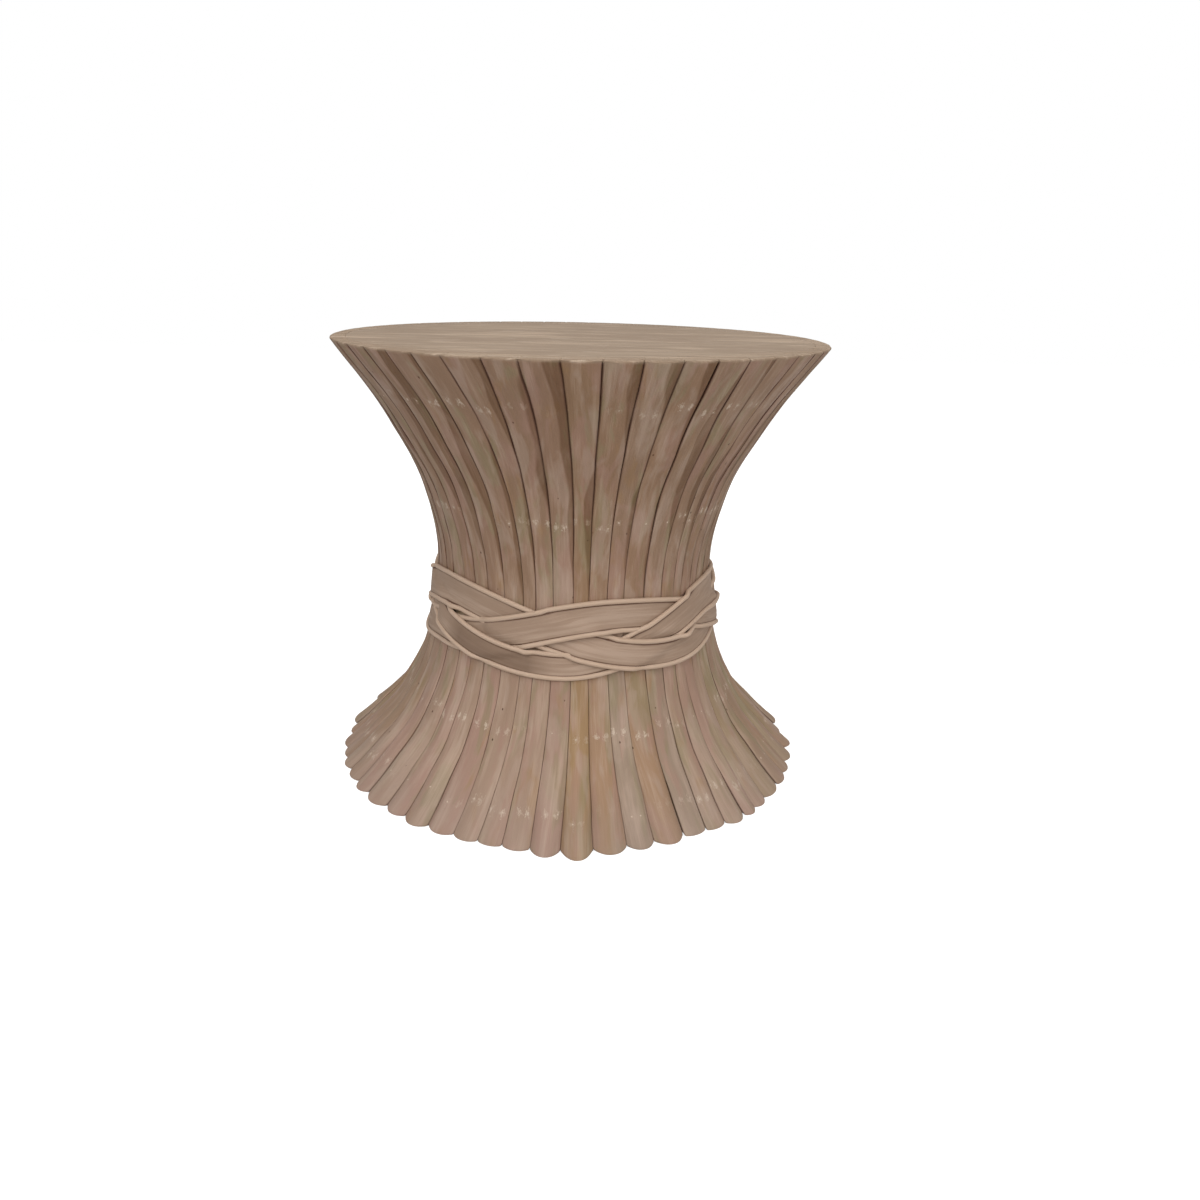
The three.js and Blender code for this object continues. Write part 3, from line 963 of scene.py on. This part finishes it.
# The plait. Each strap runs right round, and its two ends meet at the first row, on the far side. A row is a
# place where the strap turns: an angle, a height and the strap's width there.
straps = {
    "turns": {
        "a": [(-234, 251, 40), (-138, 191, 40), (-55, 249, 44), (42, 191, 38)],
        "b": [(-165, 252, 40), (-85, 188, 40), (-55, 199, 44), (15, 244, 42), (120, 190, 36)],
        "c": [(-195, 190, 40), (-122, 250, 40), (-5, 184, 34), (70, 246, 46), (104, 241, 42)],
    },
    "liesOver": {"a": "c", "b": "a", "c": "b"},      # at every crossing of the two
    "thickness": 2.4,
    "crown": 0.9,
    "sunk": 0.7,              # how much lower the strip lies than the middles of its reeds
    "underSunk": 0.3,         # of that, how much its underside does
    "tucked": 0.6,            # how much of a reed's width a strip's edge stays inside the strap's
    "reedWidth": 6.0,
    "reedSides": 14,
    "reedUneven": 0.12,
    "reedWaves": 18.0,        # noise per metre
    "reedGirth": 17.0,        # millimetres of grain round a reed
    "reedEdge": 9.0,
    "reedLift": 2.0,          # the middle of a reed above a strap's resting place
    "lift": 0.4,              # that place above the crowns of the poles
    "stack": 4.7,             # how much higher a strap lies on another
    "margin": 1.2,            # beside the strap below, where it still lies that high
    "fade": 6.5,              # and how far it takes to come down
    "crossing": (16, 36, 6),  # degrees before and after a crossing that a strap lies on the other, and its fade
    "shadowed": {"c": (-54, -6)},        # degrees of a strap that lie in the shadow of the straps above it, a painted shadow
    "shadowFade": 9.0,
    "depth": 2,               # how many straps below are counted
    "slopeDegrees": 1.0,
    "steps": 360,
    "across": 7,
    "endGap": 0.5,            # degrees
    "girth": 190.0,           # the radius that turns an angle on a strap into millimetres of grain
}


def strapAt(name, angle):
    # the height of the strap's middle line and its width, which ease from each turn to the next
    turns = straps["turns"][name]
    start = turns[0][0]
    around = start + (angle - start) % 360
    closed = turns + [(start + 360, *turns[0][1:])]
    after = next(k for k, row in enumerate(closed) if row[0] > around)
    (lastAngle, lastHeight, lastWidth), (nextAngle, nextHeight, nextWidth) = closed[after - 1], closed[after]
    share = (1 - math.cos(math.pi * (around - lastAngle) / (nextAngle - lastAngle))) / 2
    return lastHeight + (nextHeight - lastHeight) * share, lastWidth + (nextWidth - lastWidth) * share


def strapSlope(name, angle):
    step = straps["slopeDegrees"]
    rise = strapAt(name, angle + step)[0] - strapAt(name, angle - step)[0]
    return math.atan2(rise, math.radians(2 * step) * outlineRadius(strapAt(name, angle)[0]))


def crossingAngles(name, below):
    gaps = [strapAt(name, angle)[0] - strapAt(below, angle)[0] for angle in range(361)]
    return [angle for angle in range(360) if (gaps[angle] > 0) != (gaps[angle + 1] > 0)]


crossings = {name: crossingAngles(name, below) for name, below in straps["liesOver"].items()}


def faded(distance, near, far):
    # 1 up to near and 0 from far on, with a soft start and end
    share = min(1.0, max(0.0, (distance - near) / (far - near)))
    return (1 + math.cos(math.pi * share)) / 2


def crossingShare(turn):
    before, after, fade = straps["crossing"]
    past = (turn + 180) % 360 - 180
    return faded(past, after, after + fade) if past > 0 else faded(-past, before, before + fade)


def strapLifted(name, angle, height, depth):
    # how far a strap is held off the poles at a point: by the strap below, with whatever that one lies on
    below = straps["liesOver"][name]
    middle, width = strapAt(below, angle)
    past = abs(height - middle) * math.cos(strapSlope(below, angle)) - width / 2 - straps["margin"]
    nearCrossing = max(crossingShare(angle - crossing) for crossing in crossings[name])
    share = faded(past, 0, straps["fade"]) * nearCrossing
    if depth == 0 or share == 0:
        return 0.0
    nearest = min(max(height, middle - width / 2), middle + width / 2)
    return share * (straps["stack"] + strapLifted(below, angle, nearest, depth - 1))


def strapPoint(name, angle, across, out):
    # a point of a strap, so far across from its middle line and out from its own middle
    middle, _ = strapAt(name, angle)
    slope = strapSlope(name, angle)
    height = middle + across * math.cos(slope)
    radius = outlineRadius(height)
    pointAngle = angle - math.degrees(across * math.sin(slope) / radius)
    lift = straps["lift"] + straps["reedLift"] + out + strapLifted(name, pointAngle, height, straps["depth"])
    return place(radius + lift, pointAngle, height)


def strapAngles(name):
    start = straps["turns"][name][0][0] + straps["endGap"] / 2
    return [start + k * (360 - straps["endGap"]) / straps["steps"] for k in range(straps["steps"] + 1)]


def storeSpots(mesh, spots):
    # what the strap materials follow: millimetres across and along the strap, and from its nearer edge
    mesh.attributes.new("strapSpot", "FLOAT_VECTOR", "POINT").data.foreach_set("vector", np.ravel(spots))


def shadowShare(name, angle):
    # how deep a strap lies in its painted shadow at an angle
    if name not in straps["shadowed"]:
        return 0.0
    start, end = straps["shadowed"][name]
    inside = min((angle - start + 180) % 360 - 180, (end - angle + 180) % 360 - 180)
    return min(1.0, max(0.0, inside / straps["shadowFade"]))


def stripMesh(name):
    count = straps["across"]
    shares = [1 - 2 * k / (count - 1) for k in range(count)]
    thick, sunk = straps["thickness"] / 2, straps["sunk"]
    rings, spots, stainsAndShadows = [], [], []
    for angle in strapAngles(name):
        edge = strapAt(name, angle)[1] / 2 - straps["reedWidth"] * straps["tucked"]
        outer = [(edge * share, thick - sunk + straps["crown"] * (1 - share * share)) for share in shares]
        inner = [(edge * share, -thick - sunk * straps["underSunk"]) for share in reversed(shares)]
        rings.append([strapPoint(name, angle, across, out) for across, out in outer + inner])
        along = math.radians(angle) * straps["girth"]
        spots += [(across, along, edge - abs(across)) for across, _ in outer + inner]
        # each point's share of the strap's painted shadow
        stainsAndShadows += [shadowShare(name, angle)] * len(outer + inner)
    mesh = lofted(f"strip_{name}", rings)
    storeSpots(mesh, spots)
    mesh.attributes.new("strapShadow", "FLOAT", "POINT").data.foreach_set("value", stainsAndShadows)
    mesh.materials.append(wovenStrip)
    return mesh


def reedTree():
    # a round reed along a line of points, a little thicker here and thinner there
    tree, entry, leave = makeTree(
        "GeometryNodeTree", "edgeReed",
        {"Geometry": "NodeSocketGeometry", "Radius": "NodeSocketFloat", "Unevenness": "NodeSocketFloat",
         "Seed": "NodeSocketFloat", "Sides": "NodeSocketInt"},
        {"Geometry": "NodeSocketGeometry"})
    given = wires(tree, entry)
    line = makeNode(tree, "GeometryNodeMeshToCurve", {"Mesh": given["Geometry"]})
    length = Wire(tree, makeNode(tree, "GeometryNodeSplineParameter").outputs["Length"])
    noise = makeNode(tree, "ShaderNodeTexNoise", {
        "W": length * straps["reedWaves"] + given["Seed"], "Scale": 1.0, "Detail": 1.0}, noise_dimensions="1D")
    size = given["Radius"] * ((Wire(tree, noise.outputs[0]) - 0.5) * given["Unevenness"] + 1.0)
    sized = makeNode(tree, "GeometryNodeSetCurveRadius", {"Curve": line.outputs[0], "Radius": size})
    ring = makeNode(tree, "GeometryNodeCurvePrimitiveCircle", {"Resolution": given["Sides"], "Radius": 1.0})
    sweep = swept(tree, sized, ring, "Length")
    plug(tree, sweep.inputs["Scale"], makeNode(tree, "GeometryNodeInputRadius").outputs[0])
    # what the material follows: millimetres round and along the reed, and an edge too far off to take the
    # strips' painted shade
    around, along = recalled(tree, "around") * straps["reedGirth"], recalled(tree, "along") * perMetre
    grain = joined(tree, around, along, straps["reedEdge"])
    marked = stored(tree, sweep.outputs[0], "strapSpot", grain, "FLOAT_VECTOR")
    smooth = makeNode(tree, "GeometryNodeSetShadeSmooth", {"Geometry": marked})
    finishTree(tree, leave, smooth.outputs[0], edgeReed)
    return tree


def reedLine(name, side):
    # the line along the middle of a reed, on the strap's upper side for 1 and its lower for -1
    points = []
    for angle in strapAngles(name):
        across = side * (strapAt(name, angle)[1] - straps["reedWidth"]) / 2
        points.append(strapPoint(name, angle, across, 0.0))
    line = bpy.data.meshes.new("reedLine")
    line.from_pydata(points, [(k, k + 1) for k in range(len(points) - 1)], [])
    return line


def addStraps():
    tree = reedTree()
    for name in straps["turns"]:
        node = f"strap_{name}"
        addPiece(f"strip_{name}", stripMesh(name), [node], sharpDegrees=50)
        for side, where in ((1, "high"), (-1, "low")):
            values = {"Radius": straps["reedWidth"] / 2 * metres, "Unevenness": straps["reedUneven"],
                      "Sides": straps["reedSides"], "Seed": float(ord(name) + side)}
            reedName = f"reed_{name}_{where}"
            addPiece(reedName, grownMesh(reedName, tree, values, reedLine(name, side)), [node])
    print("straps:", len(straps["turns"]), "with two reeds each")


addStraps()


hoops = ("foot_hoop", "lower_hoop", "upper_hoop", "head_hoop")      # inside the poles, in their CAD shape
for hoop in hoops:
    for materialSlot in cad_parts[hoop].material_slots:
        materialSlot.material = bentWood
print("hoops:", len(hoops))


# The camera stands where a fit to the outlines of the table puts it. Places are metres, turns are radians, and
# the lens and sensor are millimetres.
view = {
    "place": (0.0, -1.2663, 0.6396),
    "yaw": -0.0195,
    "pitch": 0.3474,
    "roll": 0.0205,
    "lens": 29.33,
    "sensor": 36.0,
    "shift": (0.0384, 0.0115),
}


def addCamera():
    yaw, pitch, roll = view["yaw"], view["pitch"], view["roll"]
    level = Vector((math.sin(yaw), math.cos(yaw), 0))
    right = Vector((math.cos(yaw), -math.sin(yaw), 0))
    forward = math.cos(pitch) * level - math.sin(pitch) * Vector((0, 0, 1))
    upward = math.sin(pitch) * level + math.cos(pitch) * Vector((0, 0, 1))
    cameraX = math.cos(roll) * right + math.sin(roll) * upward
    cameraY = -math.sin(roll) * right + math.cos(roll) * upward
    turn = Matrix((cameraX, cameraY, -forward)).transposed().to_4x4()
    data = bpy.data.cameras.new("photoView")
    data.sensor_width = view["sensor"]
    data.lens = view["lens"]
    data.shift_x, data.shift_y = view["shift"]
    camera = bpy.data.objects.new("photoView", data)
    camera.matrix_world = Matrix.Translation(view["place"]) @ turn
    bpy.context.scene.collection.objects.link(camera)
    bpy.context.scene.camera = camera


addCamera()


studio = {
    "worldStrength": 0.42,
    "backdropStrength": 1.0,
    "floorSize": 12.0,
    "floorShade": 0.55,
    "floorGlow": 0.78,        # what the camera sees of the floor beyond the light that falls on it
    # name: place, size, power and colour of a soft square light that faces the waist of the table
    "lights": {
        "overhead": ((0.0, -0.2, 3.2), 3.6, 70.0, (1.0, 0.995, 0.985)),
        "leftFront": ((-1.7, -2.4, 2.3), 1.6, 43.0, (1.0, 0.99, 0.975)),
        "rightFront": ((1.8, -2.6, 1.7), 2.0, 44.0, (1.0, 0.98, 0.95)),
    },
    "aim": (0.0, 0.0, 0.3),
}


def addFloor():
    half = studio["floorSize"] / 2
    mesh = bpy.data.meshes.new("floor")
    corners = [(-half, -half, 0), (half, -half, 0), (half, half, 0), (-half, half, 0)]
    mesh.from_pydata(corners, [], [(0, 1, 2, 3)])
    pale = bpy.data.materials.new("paleFloor")
    pale.use_nodes = True
    tree = pale.node_tree
    shader = tree.nodes["Principled BSDF"]
    for name, value in (("Base Color", (*[studio["floorShade"]] * 3, 1)), ("Roughness", 0.95),
                        ("Specular IOR Level", 0.0), ("Emission Color", (1, 1, 1, 1))):
        plug(tree, shader.inputs[name], value)
    lit = Wire(tree, makeNode(tree, "ShaderNodeLightPath").outputs["Is Camera Ray"])
    plug(tree, shader.inputs["Emission Strength"], lit * studio["floorGlow"])
    mesh.materials.append(pale)
    floor = bpy.data.objects.new("floor", mesh)
    bpy.context.scene.collection.objects.link(floor)


def addWorld():
    # the camera sees it brighter than the table does
    world = bpy.data.worlds.new("studio")
    world.use_nodes = True
    tree = world.node_tree
    seen = Wire(tree, makeNode(tree, "ShaderNodeLightPath").outputs["Is Camera Ray"])
    strength = seen * (studio["backdropStrength"] - studio["worldStrength"]) + studio["worldStrength"]
    plug(tree, tree.nodes["Background"].inputs["Color"], (1, 1, 1, 1))
    plug(tree, tree.nodes["Background"].inputs["Strength"], strength)
    bpy.context.scene.world = world


def addLights():
    for name, (spot, size, power, color) in studio["lights"].items():
        data = bpy.data.lights.new(name, "AREA")
        data.shape = "SQUARE"
        data.size, data.energy, data.color = size, power, color
        light = bpy.data.objects.new(name, data)
        light.location = spot
        light.rotation_euler = (Vector(studio["aim"]) - Vector(spot)).to_track_quat("-Z", "Y").to_euler()
        bpy.context.scene.collection.objects.link(light)


addFloor()
addWorld()
addLights()
bpy.context.scene.view_settings.view_transform = "Standard"
print("studio:", len(studio["lights"]), "lights")
